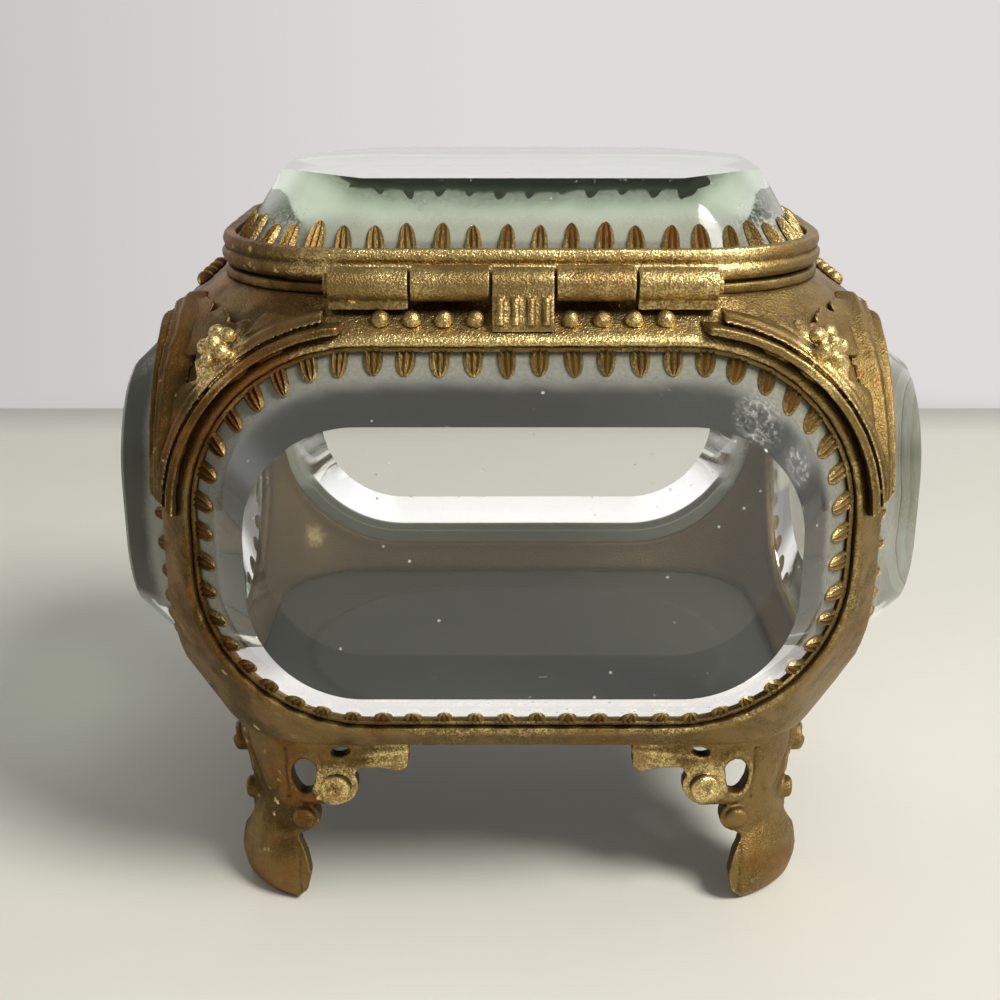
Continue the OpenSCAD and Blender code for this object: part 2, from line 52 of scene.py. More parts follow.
BODY, LID = "body", "lid"
SIDES = ("back", "front", "left", "right")
LONG_SIDES = ("back", "front")
NEARLY = 1e-6

# Distance of the body's faces from the middle, and its hollow's middle and half height, in metres
FACE_X, FACE_Y = 0.0415, 0.0325
HOLLOW_MIDDLE = (0, 0, 0.050)
HOLLOW_HALF_HEIGHT = 0.0300

# Camera, with a tilt in degrees that is 90 where it looks level, and a lens in mm
CAMERA_PLACE = (-0.00255, -0.18755, 0.10894)
CAMERA_TILT = 71.1
CAMERA_LENS = 51.96
CAMERA_SENSOR = 36

LAMP_PLACE = (0.38, -0.30, 0.54)
LAMP_AIM = (0, 0, 0.04)
LAMP_WIDTH = 0.26
LAMP_COLOUR = (1.0, 0.985, 0.96)
ROOM_COLOUR = (1.0, 0.99, 0.97, 1)

TABLE_WIDTH, TABLE_DEPTH, TABLE_THICK = 3.0, 2.0, 0.05
TABLE_FAR_EDGE = 0.215


class Skin(NamedTuple):
    """How a casting comes out, in metres, with the rounds of smoothing that it gets."""

    grain: float
    rounds: int
    uneven: float = 0.0
    patch: float = 0.004


SKINS = {
    "body": Skin(grain=0.00045, rounds=3, uneven=0.00022, patch=0.005),
    "collar": Skin(grain=0.0003, rounds=2, uneven=0.0001, patch=0.004),
    "sheet": Skin(grain=0.0004, rounds=8),
    "leaf": Skin(grain=0.00020, rounds=2, uneven=0.00010, patch=0.003),
    "beads": Skin(grain=0.00018, rounds=1, uneven=0.00015, patch=0.0015),
    "foot": Skin(grain=0.00024, rounds=3, uneven=0.0002, patch=0.004),
    "hinge": Skin(grain=0.00014, rounds=2, uneven=0.00006, patch=0.002),
    "lid": Skin(grain=0.00026, rounds=2, uneven=0.00014, patch=0.003),
    "thumb": Skin(grain=0.00012, rounds=1),
}


# ---------- sizes and finishes that a user would change ----------


def length(name, description, default):
    return FloatProperty(name=name, description=description, default=default, unit="LENGTH", precision=4)


def colour(name, description, default):
    return FloatVectorProperty(
        name=name, description=description, default=default, subtype="COLOR", min=0, max=1
    )


class CasketOpeningSizes(bpy.types.PropertyGroup):
    face_x: length("Side face", "Distance of the left and right faces from the middle", FACE_X)
    face_y: length("Back face", "Distance of the back and front faces from the middle", FACE_Y)
    back_width: length("Back width", "Width of the back and front openings", 0.076)
    side_width: length("Side width", "Width of the left and right openings", 0.057)
    height: length("Height", "Height of the openings", 0.0466)
    middle: length("Middle", "Height of the middle of the openings over the floor", 0.0503)
    corner: length("Corner", "Corner radius of the openings", 0.020)


class CasketPaneSizes(bpy.types.PropertyGroup):
    inset: length("Inset", "From an opening's edge to its pane", 0.0008)
    seat: length("Seat", "Depth of a pane's back under the face", 0.0026)
    rim: length("Rim", "Thickness of a pane at its edge", 0.0017)
    bevel: length("Bevel", "Width of the ground bevel", 0.0064)
    rise: length("Rise", "Height of the bevel", 0.0078)
    steps: IntProperty(name="Steps", description="Facets to a rounded corner", default=40, min=8, max=64)


class CasketLidSizes(bpy.types.PropertyGroup):
    foot: length("Foot", "Height of the lid frame's underside over the floor", 0.0797)
    ledge: length("Ledge", "Thickness of the ledge under the pane", 0.0007)
    width: length("Width", "Width of the lid's pane", 0.068)
    depth: length("Depth", "Depth of the lid's pane", 0.049)
    corner: length("Corner", "Corner radius of the lid's pane", 0.0155)
    flat_width: length("Flat width", "Width of the pane's flat top", 0.058)
    flat_depth: length("Flat depth", "Depth of the pane's flat top", 0.039)
    cut: length("Cut", "Length of the flat's cut corners", 0.0105)
    top: length("Top", "Height of the pane's flat over the floor", 0.0903)


class CasketClawSizes(bpy.types.PropertyGroup):
    pitch: length("Pitch", "Spacing of the claws along their strip", 0.0038)
    width: length("Width", "Width of a claw at its root", 0.0022)
    reach: length("Length", "Length of a claw on a side pane", 0.0036)
    lid_reach: length("Lid length", "Length of a claw on the lid", 0.0041)
    thick: length("Thickness", "Thickness of the strip", 0.0006)
    lift: length("Lift", "Air between a claw and the bevel", 0.00012)
    gap: length("Gap", "Gap between the pane and its strip", 0.0001)


class CasketGilt(bpy.types.PropertyGroup):
    # worn also colours the painted highlights
    worn: colour("Worn gilt", "Bright gold on the rubbed high spots", (0.92, 0.70, 0.30))
    gold: colour("Gilt", "Gold of the plain surfaces", (0.27, 0.182, 0.064))
    copper: colour("Copper", "Red-brown where the gilding is thin", (0.28, 0.125, 0.034))
    # brown is also the painted shade in the hollows, inside the box and towards the left end
    brown: colour("Patina", "Brown patina in the hollows and inside", (0.098, 0.056, 0.015))


class CasketGlass(bpy.types.PropertyGroup):
    tint: colour("Glass", "Green-grey of the old glass in depth", (0.80, 0.838, 0.775))
    dust: colour("Dust", "Dust and scratches on the glass", (0.64, 0.64, 0.60))
    fog: colour("Fog", "Old polish and dust under the claws", (0.33, 0.326, 0.262))
    shade: colour("Shade", "Light that a pane lets through on to the table", (0.62, 0.66, 0.63))


class CasketStage(bpy.types.PropertyGroup):
    table: colour("Table", "Colour of the table top", (0.80, 0.785, 0.70))
    wall: colour("Wall", "Colour of the wall behind", (0.735, 0.705, 0.70))
    ceiling: colour("Ceiling", "Bright upper part of the room", (1.0, 0.99, 0.97))
    sheet: colour("Floor sheet", "Dull metal sheet in the bottom", (0.042, 0.044, 0.037))
    key: FloatProperty(name="Key", description="Power of the large soft lamp", default=4.8, unit="POWER")
    fill: FloatProperty(name="Fill", description="Strength of the even room light", default=0.29)


GROUPS = {
    "casket_opening": CasketOpeningSizes,
    "casket_pane": CasketPaneSizes,
    "casket_lid": CasketLidSizes,
    "casket_claw": CasketClawSizes,
    "casket_gilt": CasketGilt,
    "casket_glass": CasketGlass,
    "casket_stage": CasketStage,
}


# ---------- working on a piece ----------


def deselect():
    for other in bpy.context.selected_objects:
        other.select_set(False)


def only(piece):
    """Selects this piece alone and makes it the active one."""
    deselect()
    piece.select_set(True)
    bpy.context.view_layer.objects.active = piece
    return piece


@contextmanager
def editing(piece):
    """Edit mode on one piece, with all of it selected."""
    only(piece)
    bpy.ops.object.mode_set(mode="EDIT")
    bpy.ops.mesh.select_all(action="SELECT")
    yield piece
    bpy.ops.object.mode_set(mode="OBJECT")


def pick(piece, kind, test):
    """Selects the vertices or edges whose middle passes the test. Edit mode only."""
    bpy.ops.mesh.select_mode(type=kind)
    bpy.ops.mesh.select_all(action="DESELECT")
    mesh = bmesh.from_edit_mesh(piece.data)
    for element in {"VERT": mesh.verts, "EDGE": mesh.edges}[kind]:
        ends = element.verts if kind == "EDGE" else (element, element)
        element.select_set(bool(test((ends[0].co + ends[1].co) / 2)))
    mesh.select_flush_mode()
    bmesh.update_edit_mesh(piece.data)


def face_out(piece):
    """Merges doubles and turns the faces outwards."""
    with editing(piece):
        bpy.ops.mesh.remove_doubles(threshold=NEARLY)
        bpy.ops.mesh.normals_make_consistent(inside=False)
    return piece


def finish_shape(piece, kind, **settings):
    """Adds one modifier and applies it."""
    only(piece)
    modifier = piece.modifiers.new(kind.title(), kind)
    for key, value in settings.items():
        setattr(modifier, key, value)
    bpy.ops.object.modifier_apply(modifier=modifier.name)
    return piece


def smooth(piece, degrees=30):
    """Smooth shading, except at edges that are sharper than this."""
    only(piece)
    bpy.ops.object.shade_smooth_by_angle(angle=math.radians(degrees))
    return piece


def set_down(piece, body, finish, slot, *nodes):
    """Gives a finished piece its finish, its body and the CAD nodes that it stands for."""
    piece.data.materials.clear()
    piece.data.materials.append(finish)
    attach(piece, body)
    if nodes:
        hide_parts(*nodes)
    return piece


def copies(pattern, places, name):
    """One piece made of copies of a pattern, each with its own mesh."""
    made = []
    for place in places:
        twin = bpy.data.objects.new(name, pattern.data.copy())
        twin.data.transform(place)
        if place.determinant() < 0:
            twin.data.flip_normals()
        bpy.context.scene.collection.objects.link(twin)
        made.append(twin)
    bpy.data.objects.remove(pattern)
    return joined(made, name)


def joined(parts, name):
    """One piece made of several."""
    only(parts[0])
    for part in parts:
        part.select_set(True)
    if len(parts) > 1:
        bpy.ops.object.join()
    parts[0].name = name
    return parts[0]


def node_copy(node, name):
    """A free copy of a CAD node's mesh, merged."""
    piece = bpy.data.objects.new(name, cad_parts[node].data.copy())
    bpy.context.scene.collection.objects.link(piece)
    with editing(piece):
        bpy.ops.mesh.customdata_custom_splitnormals_clear()
        bpy.ops.mesh.remove_doubles(threshold=2 * NEARLY)
    return piece


def cast(node, name, skin):
    """A copy of a CAD node with the soft edges and uneven skin of a casting."""
    piece = node_copy(node, name)
    finish_shape(piece, "REMESH", mode="VOXEL", voxel_size=skin.grain, use_smooth_shade=True)
    finish_shape(piece, "SMOOTH", factor=0.5, iterations=skin.rounds)
    if skin.uneven:
        waves = bpy.data.textures.new("cast_skin", "CLOUDS")
        waves.noise_scale = skin.patch
        waves.noise_depth = 2
        finish_shape(
            piece, "DISPLACE", texture=waves, texture_coords="LOCAL", strength=skin.uneven, mid_level=0.5
        )
        bpy.data.textures.remove(waves)
    only(piece)
    bpy.ops.object.shade_smooth()
    return piece


def chase(piece, relief):
    """Raises each point along its normal by the relief there, as punches and chisels would."""
    shifts = [point.normal * relief(*point.co) for point in piece.data.vertices]
    for point, shift in zip(piece.data.vertices, shifts):
        point.co += shift
    piece.data.update()
    return piece


# ---------- shader maths ----------


class Value:
    """A socket in a material's node tree. Sums and products of values are Math nodes."""

    def __init__(self, tree, socket=None):
        self.tree, self.socket = tree, socket

    def node(self, kind, settings=None, inputs=None, out=0):
        made = self.tree.nodes.new(kind)
        for key, value in (settings or {}).items():
            setattr(made, key, value)
        for key, value in (inputs or {}).items():
            if isinstance(value, Value):
                self.tree.links.new(value.socket, made.inputs[key])
            else:
                made.inputs[key].default_value = value
        return Value(self.tree, made.outputs[out])

    def maths(self, operation, *values):
        return self.node("ShaderNodeMath", {"operation": operation}, dict(enumerate(values)))

    def vector(self, operation, *values, out=0):
        return self.node("ShaderNodeVectorMath", {"operation": operation}, dict(enumerate(values)), out)

    def __add__(self, other):
        return self.maths("ADD", self, other)

    def __sub__(self, other):
        return self.maths("SUBTRACT", self, other)

    def __rsub__(self, other):
        return self.maths("SUBTRACT", other, self)

    def __mul__(self, other):
        return self.maths("MULTIPLY", self, other)

    def __pow__(self, other):
        return self.maths("POWER", self, other)

    __radd__ = __add__
    __rmul__ = __mul__

    def rise(self, low, high):
        """0 below low, 1 over high, smooth between."""
        return self.node(
            "ShaderNodeMapRange",
            {"interpolation_type": "SMOOTHSTEP"},
            {"Value": self, "From Min": low, "From Max": high},
        )

    def blend(self, first, second):
        """The first colour where this is 0 and the second where it is 1."""
        return self.node(
            "ShaderNodeMix",
            {"data_type": "RGBA"},
            {"Factor": self, 6: first, 7: second},
            out=2,
        )


def new_finish(name):
    """An empty material, its first value and its object coordinates."""
    finish = bpy.data.materials.new(name)
    finish.use_nodes = True
    finish.node_tree.nodes.clear()
    start = Value(finish.node_tree)
    place = start.node("ShaderNodeTexCoord", out=3)
    return finish, start, place


def noise(place, size, detail=4.0, rough=0.55, warp=0.0):
    """Noise with patches of about this size, in metres."""
    return place.node(
        "ShaderNodeTexNoise",
        None,
        {"Vector": place, "Scale": 1 / size, "Detail": detail, "Roughness": rough, "Distortion": warp},
    )


def rgba(colour, share=1.0):
    """A colour for a socket, darkened to this share."""
    return (*(part * share for part in colour[:3]), 1.0)


def output(finish, surface, volume=None):
    """Ends a material or a world's nodes with its surface and, for glass, its volume."""
    end = finish.node_tree.nodes.new(
        "ShaderNodeOutputWorld" if isinstance(finish, bpy.types.World) else "ShaderNodeOutputMaterial"
    )
    finish.node_tree.links.new(surface.socket, end.inputs["Surface"])
    if volume:
        finish.node_tree.links.new(volume.socket, end.inputs["Volume"])


def xyz(place):
    """The three parts of a place or a direction."""
    outputs = place.node("ShaderNodeSeparateXYZ", None, {"Vector": place}).socket.node.outputs
    return [Value(place.tree, socket) for socket in outputs]


def distance(place, spot):
    return place.vector("DISTANCE", place, spot, out=1)


def inward(place):
    """1 on faces that look in at the middle of the box, 0 on those that look out: the mask of the gilt's
    painted shade inside the box.
    """
    reach = Vector((1 / FACE_X, 1 / FACE_Y, 1 / HOLLOW_HALF_HEIGHT))
    out = place.vector("SUBTRACT", place, HOLLOW_MIDDLE)
    out = place.vector("NORMALIZE", place.vector("MULTIPLY", out, reach))
    facing = place.node("ShaderNodeTexCoord", out=1)
    return 1 - place.vector("DOT_PRODUCT", out, facing, out=1).rise(-0.45, 0.15)


def gilt(name, shine, dark, rubbed=(), painted_highlights=()):
    """Old gilding: gold rubbed bright on high spots, patina and painted shade in hollows, with a grainy skin.

    A rubbed spot is (place, size, share) and is repeated in all four quarters of the box;
    it is rubbed gilt and partly a painted highlight.
    A painted highlight is (place, size) and stays at its own place.
    """
    look = bpy.context.scene.casket_gilt
    finish, start, place = new_finish(name)
    curve = start.node("ShaderNodeNewGeometry", out=7)      # 0 in a hollow, 0.5 flat, 1 on an edge
    patches = noise(place, size=0.008, detail=5, rough=0.6, warp=0.4)
    stain = noise(place, size=0.013, detail=4, rough=0.6, warp=0.3)
    grain = noise(place, size=0.00025, detail=2, rough=0.6)
    speck = noise(place, size=0.0010, detail=4, rough=0.7)
    # Painted shade: brown, less metallic and without highlights on faces that look into the box
    inside_shade = inward(place)

    # Bright where hands and cloths reach, and on rubbed spots that are partly painted highlights.
    # Painted shade makes it duller towards the left end
    even = place.vector("ABSOLUTE", place)
    for spot, size, share in rubbed:
        shine = (1 - distance(even, spot).rise(size * 0.4, size)) * share + shine
    left_end_shade = 1 - xyz(place)[0].rise(-0.046, -0.006)
    spark = (grain * 0.6 + speck * 0.4).rise(0.40, 0.64)
    edges = curve.rise(0.49, 0.60) * 0.50
    wear = (edges + (patches - 0.5) * 1.4 + shine * 0.9 - left_end_shade * 0.28).rise(0.10, 1.0)
    rims = curve.rise(0.56, 0.66) * wear * 0.3
    bright = ((0.35 + spark * 0.65) * wear + rims).rise(0.05, 1.0) * (1 - inside_shade)
    # Painted highlights, each a soft bright spot at its own place
    for spot, size in painted_highlights:
        near = distance(place, spot) + (speck - 0.5) * size
        glint = (1 - near.rise(size * 0.3, size)) * (0.40 + spark * 0.35)
        bright = start.maths("MAXIMUM", bright, glint)

    # Brown: patina and painted shade in the hollows, patina in patches, painted shade inside the box
    hollow = 1 - curve.rise(0.43, 0.505)
    dull = hollow * 0.9 + (1 - spark) * 0.20 + patches.rise(0.38, 0.72) * dark
    dull = (dull + left_end_shade * 0.22 - wear * 0.25).rise(0.0, 0.95)
    dull = start.maths("MAXIMUM", dull, inside_shade)

    # Copper in the stains, and more of it towards the left end as part of its painted shade
    base = (stain + left_end_shade * 0.16).rise(0.50, 0.70).blend(rgba(look.gold), rgba(look.copper))
    base = dull.blend(base, rgba(look.brown))
    base = bright.blend(base, rgba(look.worn))
    skin = {"Strength": 1.0, "Distance": 0.00011, "Height": grain * 0.8 + speck * 0.8}
    shader = start.node(
        "ShaderNodeBsdfPrincipled",
        None,
        {
            "Base Color": base,
            "Metallic": 1 - inside_shade * 0.3,
            "Roughness": 0.44 - bright * 0.20 + dull * 0.12,
            "Normal": start.node("ShaderNodeBump", None, skin),
        },
    )
    output(finish, shader)
    return finish


def dull_sheet():
    """Dull tinned sheet with rubbed patches and pale dust."""
    look = bpy.context.scene.casket_stage
    pale_sheet = (0.13, 0.13, 0.115, 1)
    finish, start, place = new_finish("dull_sheet")
    clouds = noise(place, size=0.014, detail=6, rough=0.62, warp=0.6)
    grit = noise(place, size=0.0009, detail=4, rough=0.7)
    drawn = place.node("ShaderNodeMapping", None, {"Vector": place, "Scale": (1.0, 3.2, 1.0)})
    streak = noise(drawn, size=0.02, detail=5, rough=0.7, warp=1.2)
    pale = clouds.rise(0.45, 0.75) * 0.5 + grit.rise(0.62, 0.74) * 0.6 + streak.rise(0.55, 0.75) * 0.3
    skin = {"Strength": 0.3, "Distance": 0.0001, "Height": grit + clouds}
    shader = start.node(
        "ShaderNodeBsdfPrincipled",
        None,
        {
            "Base Color": pale.rise(0, 1.2).blend(rgba(look.sheet), pale_sheet),
            "Metallic": 0.2,
            "Roughness": 0.68 + (clouds - 0.5) * 0.3,
            "Normal": start.node("ShaderNodeBump", None, skin),
        },
    )
    output(finish, shader)
    return finish


def old_glass(name, across, along, centre, width, height, corner, bevel, density, scuffs):
    """Old glass: dust, fine scratches, chipped bevel edges, fog under the claws, dark layers, painted shade.

    across and along number the axes of the pane's width and height. A scuff is (place, size).
    """
    look = bpy.context.scene.casket_glass
    upright = along == 2
    # The dark layer's colour: on the far pane it hides the lower claws, on the lid it is painted shade
    dark_layer_colour = (0.13, 0.125, 0.10, 1) if upright else (0.070, 0.080, 0.062, 1)
    # Colour of the painted shade on the left end's bevel
    left_shade_colour = (0.075, 0.075, 0.062, 1)
    finish, start, place = new_finish(name)
    axes = xyz(place)

    # Depth in from the pane's rounded rim
    u, v = axes[across], axes[along] - centre
    over_u = start.maths("MAXIMUM", start.maths("ABSOLUTE", u) - (width / 2 - corner), 0.0)
    over_v = start.maths("MAXIMUM", start.maths("ABSOLUTE", v) - (height / 2 - corner), 0.0)
    depth = corner - (over_u * over_u + over_v * over_v) ** 0.5

    grit = noise(place, size=0.0005, detail=3, rough=0.6)
    scratch = noise(place, size=0.0022, detail=6, rough=0.8, warp=1.5)
    drift = noise(place, size=0.011, detail=5, rough=0.65, warp=0.5)
    motes = start.node("ShaderNodeTexVoronoi", {"feature": "F1"}, {"Vector": place, "Scale": 300.0})
    mote = (1 - motes.rise(0.03, 0.09)) * drift.rise(0.42, 0.56)
    film = drift.rise(0.35, 0.8) * 0.014 + grit.rise(0.6, 0.8) * 0.012
    fog = 1 - (depth + (drift - 0.5) * 0.0020 + (grit - 0.5) * 0.0006).rise(0.0016, 0.0041)
    if upright:
        # A dark layer hides the far pane's lower claws; painted shade darkens the bevel at the left end
        over_claws = v.rise(-0.0135, -0.0105)
        dark_layer = (1 - depth.rise(0.0026, 0.0031)) * axes[1].rise(0.020, 0.030) * (1 - over_claws)
        fog = start.maths("MAXIMUM", fog * over_claws, dark_layer)
        bevelled = 1 - depth.rise(bevel - 0.0004, bevel)
        left_bevel_shade = bevelled * (1 - axes[0].rise(-0.040, -0.030)) * v.rise(-0.0130, -0.0100)
    else:
        # Painted shade: a dark layer in the far half of the lid's setting, where the far frame lies in shade
        dark_layer = (1 - (depth + (drift - 0.5) * 0.0008).rise(0.0012, 0.0019)) * axes[1].rise(0.0, 0.004)

    from_edge = start.maths("ABSOLUTE", depth - bevel + (scratch - 0.5) * 0.0006)
    chips = (1 - from_edge.rise(0.00006, 0.00026)) * scratch.rise(0.57, 0.66) * 0.7
    rubbed = 0.0
    for spot, size in scuffs:
        patch = 1 - (distance(place, spot) + (scratch - 0.5) * size * 1.6).rise(size * 0.55, size)
        rubbed = start.maths("MAXIMUM", rubbed, patch) if rubbed else patch
    scored = (scratch * 0.6 + grit * 0.4).rise(0.40, 0.64)
    chips = start.maths("MAXIMUM", chips, rubbed * scored * 0.6)

    amount = film + mote * 0.75 + fog * (0.62 + (grit - 0.5) * 0.5) + chips * 0.8 + dark_layer
    dust = (fog * (1 - chips)).blend(rgba(look.dust), rgba(look.fog))
    if upright:
        # Painted shade on the left end's bevel
        amount = start.maths("MAXIMUM", amount, left_bevel_shade * 0.8)
        dust = (left_bevel_shade * (1 - fog) * (1 - chips)).blend(dust, left_shade_colour)
    dusty = start.node(
        "ShaderNodeBsdfPrincipled", None, {"Base Color": dark_layer.blend(dust, dark_layer_colour), "Roughness": 0.9}
    )
    ripple = {"Strength": 0.05, "Distance": 0.0002, "Height": noise(place, size=0.02, detail=2)}
    glass = start.node(
        "ShaderNodeBsdfPrincipled",
        None,
        {
            "Base Color": (1.0, 1.0, 1.0, 1),
            "Roughness": 0.004 + fog * 0.12 + chips * 0.3,
            "IOR": 1.52,
            "Transmission Weight": 1.0,
            "Normal": start.node("ShaderNodeBump", None, ripple),
        },
    )
    surface = start.node("ShaderNodeMixShader", None, {0: amount.rise(0.0, 1.0), 1: glass, 2: dusty})

    # Shadow rays pass, so the pane doesn't darken the table as a solid would
    clear = start.node("ShaderNodeBsdfTransparent", None, {"Color": rgba(look.shade)})
    shadow = start.node("ShaderNodeLightPath", out=1)
    surface = start.node("ShaderNodeMixShader", None, {0: shadow, 1: surface, 2: clear})
    tint = start.node("ShaderNodeVolumeAbsorption", None, {"Color": rgba(look.tint), "Density": density})
    output(finish, surface, tint)
    return finish


# ---------- shapes shared by several pieces ----------


def rounded_sheet(name, width, height, corner, steps):
    """A flat sheet with rounded corners that faces up, round the origin."""
    deselect()
    bpy.ops.mesh.primitive_plane_add(size=1)
    piece = bpy.context.object
    piece.name = name
    with editing(piece):
        bpy.ops.transform.resize(value=(width, height, 1))
        bpy.ops.mesh.bevel(offset=corner, segments=steps, affect="VERTICES")
    return piece


def on_face(side):
    """Moves a piece that lies flat round the origin, facing up, on to one face of the body."""
    size = bpy.context.scene.casket_opening
    turn = {"back": 0, "right": 90, "front": 180, "left": 270}[side]
    reach = size.face_y if side in LONG_SIDES else size.face_x
    return (
        Matrix.Rotation(math.radians(turn), 4, "Z")
        @ Matrix.Translation((0, -reach, size.middle))
        @ Matrix.Rotation(math.radians(90), 4, "X")
    )


def opening_width(side):
    size = bpy.context.scene.casket_opening
    return size.back_width if side in LONG_SIDES else size.side_width


def beyond(u, v, half_u, half_v, corner):
    """How far a point of a face lies outside a rounded opening."""
    over_u, over_v = max(0, abs(u) - half_u + corner), max(0, abs(v) - half_v + corner)
    return math.hypot(over_u, over_v) - corner


# ---------- stage ----------


class CASKET_OT_stage(bpy.types.Operator):
    """Sets up the camera, the pale table, the wall's light and the soft lamp"""

    bl_idname = "casket.stage"
    bl_label = "Stage"

    def execute(self, context):
        look = context.scene.casket_stage
        context.scene.view_settings.view_transform = "Standard"
        bpy.ops.object.camera_add(location=CAMERA_PLACE, rotation=(math.radians(CAMERA_TILT), 0, 0))
        camera = context.object
        camera.name = "casket_camera"
        camera.data.sensor_width = CAMERA_SENSOR
        camera.data.lens = CAMERA_LENS
        camera.data.clip_start = 0.01
        context.scene.camera = camera

        table = rounded_sheet("table", TABLE_WIDTH, TABLE_DEPTH, 0.01, 4)
        with editing(table):
            bpy.ops.transform.translate(value=(0, TABLE_FAR_EDGE - TABLE_DEPTH / 2, 0))
            bpy.ops.mesh.extrude_region_move(TRANSFORM_OT_translate={"value": (0, 0, -TABLE_THICK)})
            pick(table, "EDGE", lambda m: abs(m.z) < NEARLY)
            bpy.ops.mesh.bevel(offset=0.004, segments=6)
        face_out(table)
        smooth(table)
        table.data.materials.append(self.table_top(look))

        bpy.ops.object.light_add(type="AREA", location=LAMP_PLACE)
        lamp = context.object
        lamp.name = "window"
        lamp.data.shape = "DISK"
        lamp.data.size = LAMP_WIDTH
        lamp.data.energy = look.key
        lamp.data.color = LAMP_COLOUR
        lamp.rotation_euler = (lamp.location - Vector(LAMP_AIM)).to_track_quat("Z", "Y").to_euler()
        context.scene.world = self.room(look)
        return {"FINISHED"}

    def room(self, look):
        """Even light from all round, which shows as a wall and a pale ceiling where it is seen."""
        world = bpy.data.worlds.new("room")
        world.use_nodes = True
        world.node_tree.nodes.clear()
        start = Value(world.node_tree)
        right, ahead, up = xyz(start.node("ShaderNodeTexCoord", out=0))
        side = start.maths("ABSOLUTE", right).rise(0.32, 0.80)
        near = 1 - ahead.rise(-0.65, 0.10)
        gloom = start.maths("MAXIMUM", side * 0.7, near)
        # Painted shade on the wall: darker to the left, and in a band just over the table's far edge
        left = 1 - right.rise(-0.55, 0.05)
        low = 1 - up.rise(-0.264, -0.238)
        strip = up.rise(0.005, 0.16) * (1 - up.rise(0.24, 0.55)) * (1 - near)
        wall = (left * 0.60).blend(rgba(look.wall), rgba(look.wall, 0.5))
        wall = low.blend(wall, rgba(look.wall, 0.78))
        wall = gloom.blend(wall, rgba(look.wall, 0.38))
        wall = strip.blend(wall, rgba(look.ceiling))
        wall = up.rise(0.55, 0.85).blend(wall, rgba(look.wall, 0.45))
        seen = start.node("ShaderNodeBackground", None, {"Color": wall, "Strength": 1.0 + strip * 0.33})
        light = start.node("ShaderNodeBackground", None, {"Color": ROOM_COLOUR, "Strength": look.fill})
        rays = start.node("ShaderNodeLightPath").socket.node.outputs
        camera, glossy, through = (
            Value(world.node_tree, rays[f"Is {kind} Ray"]) for kind in ("Camera", "Glossy", "Transmission")
        )
        direct = start.maths("MINIMUM", camera + glossy + through, 1.0)
        output(world, start.node("ShaderNodeMixShader", None, {0: direct, 1: light, 2: seen}))
        return world

    def table_top(self, look):
        """Matt white table with painted shade at its far edge, where it meets the wall."""
        finish, start, place = new_finish("table_top")
        # Painted shade along the far edge
        far = xyz(place)[1].rise(0.182, 0.213)
        mottle = noise(place, size=0.05, detail=5).rise(0.2, 0.8)
        base = mottle.blend(rgba(look.table), rgba(look.table, 0.965))
        base = far.blend(base, rgba(look.table, 0.66))
        shader = start.node("ShaderNodeBsdfPrincipled", None, {"Base Color": base, "Roughness": 0.55})
        output(finish, shader)
        return finish


# ---------- glass ----------


class CASKET_OT_panes(bpy.types.Operator):
    """Grinds the four bevelled side panes and the lid's pane"""

    bl_idname = "casket.panes"
    bl_label = "Glass panes"

    # Rubbed places on the panes, as (place, size)
    side_scuffs = {
        "long": [((0.0255, -0.0375, 0.0665), 0.0042), ((0.0300, -0.0375, 0.0615), 0.0030)],
        "short": [((-0.0470, -0.0150, 0.0690), 0.0035), ((0.0480, -0.0150, 0.0350), 0.0025)],
    }
    lid_density, side_density = 100.0, 9.0
    lid_scuffs = [((x * 0.0285, y * 0.0180, 0.0880), 0.0065) for x in (-1, 1) for y in (-1, 1)]

    def execute(self, context):
        opening, size = context.scene.casket_opening, context.scene.casket_pane
        height = opening.height - 2 * size.inset
        corner = opening.corner - size.inset
        looks = {}
        for name, across, width in (("long", 0, opening.back_width), ("short", 1, opening.side_width)):
            looks[name] = old_glass(
                f"clear_glass_{name}", across, 2, opening.middle, width - 2 * size.inset, height, corner,
                size.bevel, self.side_density, self.side_scuffs[name],
            )
        for side in SIDES:
            width = opening_width(side) - 2 * size.inset
            piece = rounded_sheet(f"{side}_pane", width, height, corner, size.steps)
            with editing(piece):
                bpy.ops.mesh.extrude_region_move(TRANSFORM_OT_translate={"value": (0, 0, size.rim)})
                bpy.ops.mesh.inset(thickness=size.bevel, depth=size.rise)
                bpy.ops.mesh.select_all(action="SELECT")
                bpy.ops.transform.translate(value=(0, 0, -size.seat))
            piece.data.transform(on_face(side))
            self.ground(piece)
            finish = looks["long" if side in LONG_SIDES else "short"]
            set_down(piece, BODY, finish, "clear_glass", f"{side}_glass")
        self.lid_pane(context)
        return {"FINISHED"}

    def ground(self, piece):
        """Closed faces that point out, with the bevel's flats kept flat."""
        face_out(piece)
        smooth(piece, 16)
        finish_shape(piece, "WEIGHTED_NORMAL", weight=100, keep_sharp=True)

    def lid_pane(self, context):
        """The hull of a rounded slab and a smaller flat with cut corners over it."""
        size, steps = context.scene.casket_lid, context.scene.casket_pane.steps
        rim = context.scene.casket_pane.rim
        low = size.foot + size.ledge
        bottom = rounded_sheet("lid_pane", size.width, size.depth, size.corner, steps)
        with editing(bottom):
            bpy.ops.transform.translate(value=(0, 0, low))
            bpy.ops.mesh.extrude_region_move(TRANSFORM_OT_translate={"value": (0, 0, rim)})
        top = rounded_sheet("lid_flat", size.flat_width, size.flat_depth, size.cut, 1)
        with editing(top):
            bpy.ops.transform.translate(value=(0, 0, size.top))
        piece = joined([bottom, top], "lid_pane")
        with editing(piece):
            bpy.ops.mesh.convex_hull()
            bpy.ops.mesh.dissolve_limited(angle_limit=math.radians(0.4))
        self.ground(piece)
        bevel = (size.width - size.flat_width) / 2
        finish = old_glass(
            "clear_glass_lid", 0, 1, 0.0, size.width, size.depth, size.corner,
            bevel, self.lid_density, self.lid_scuffs,
        )
        set_down(piece, LID, finish, "clear_glass", "lid_glass")


# ---------- claws ----------


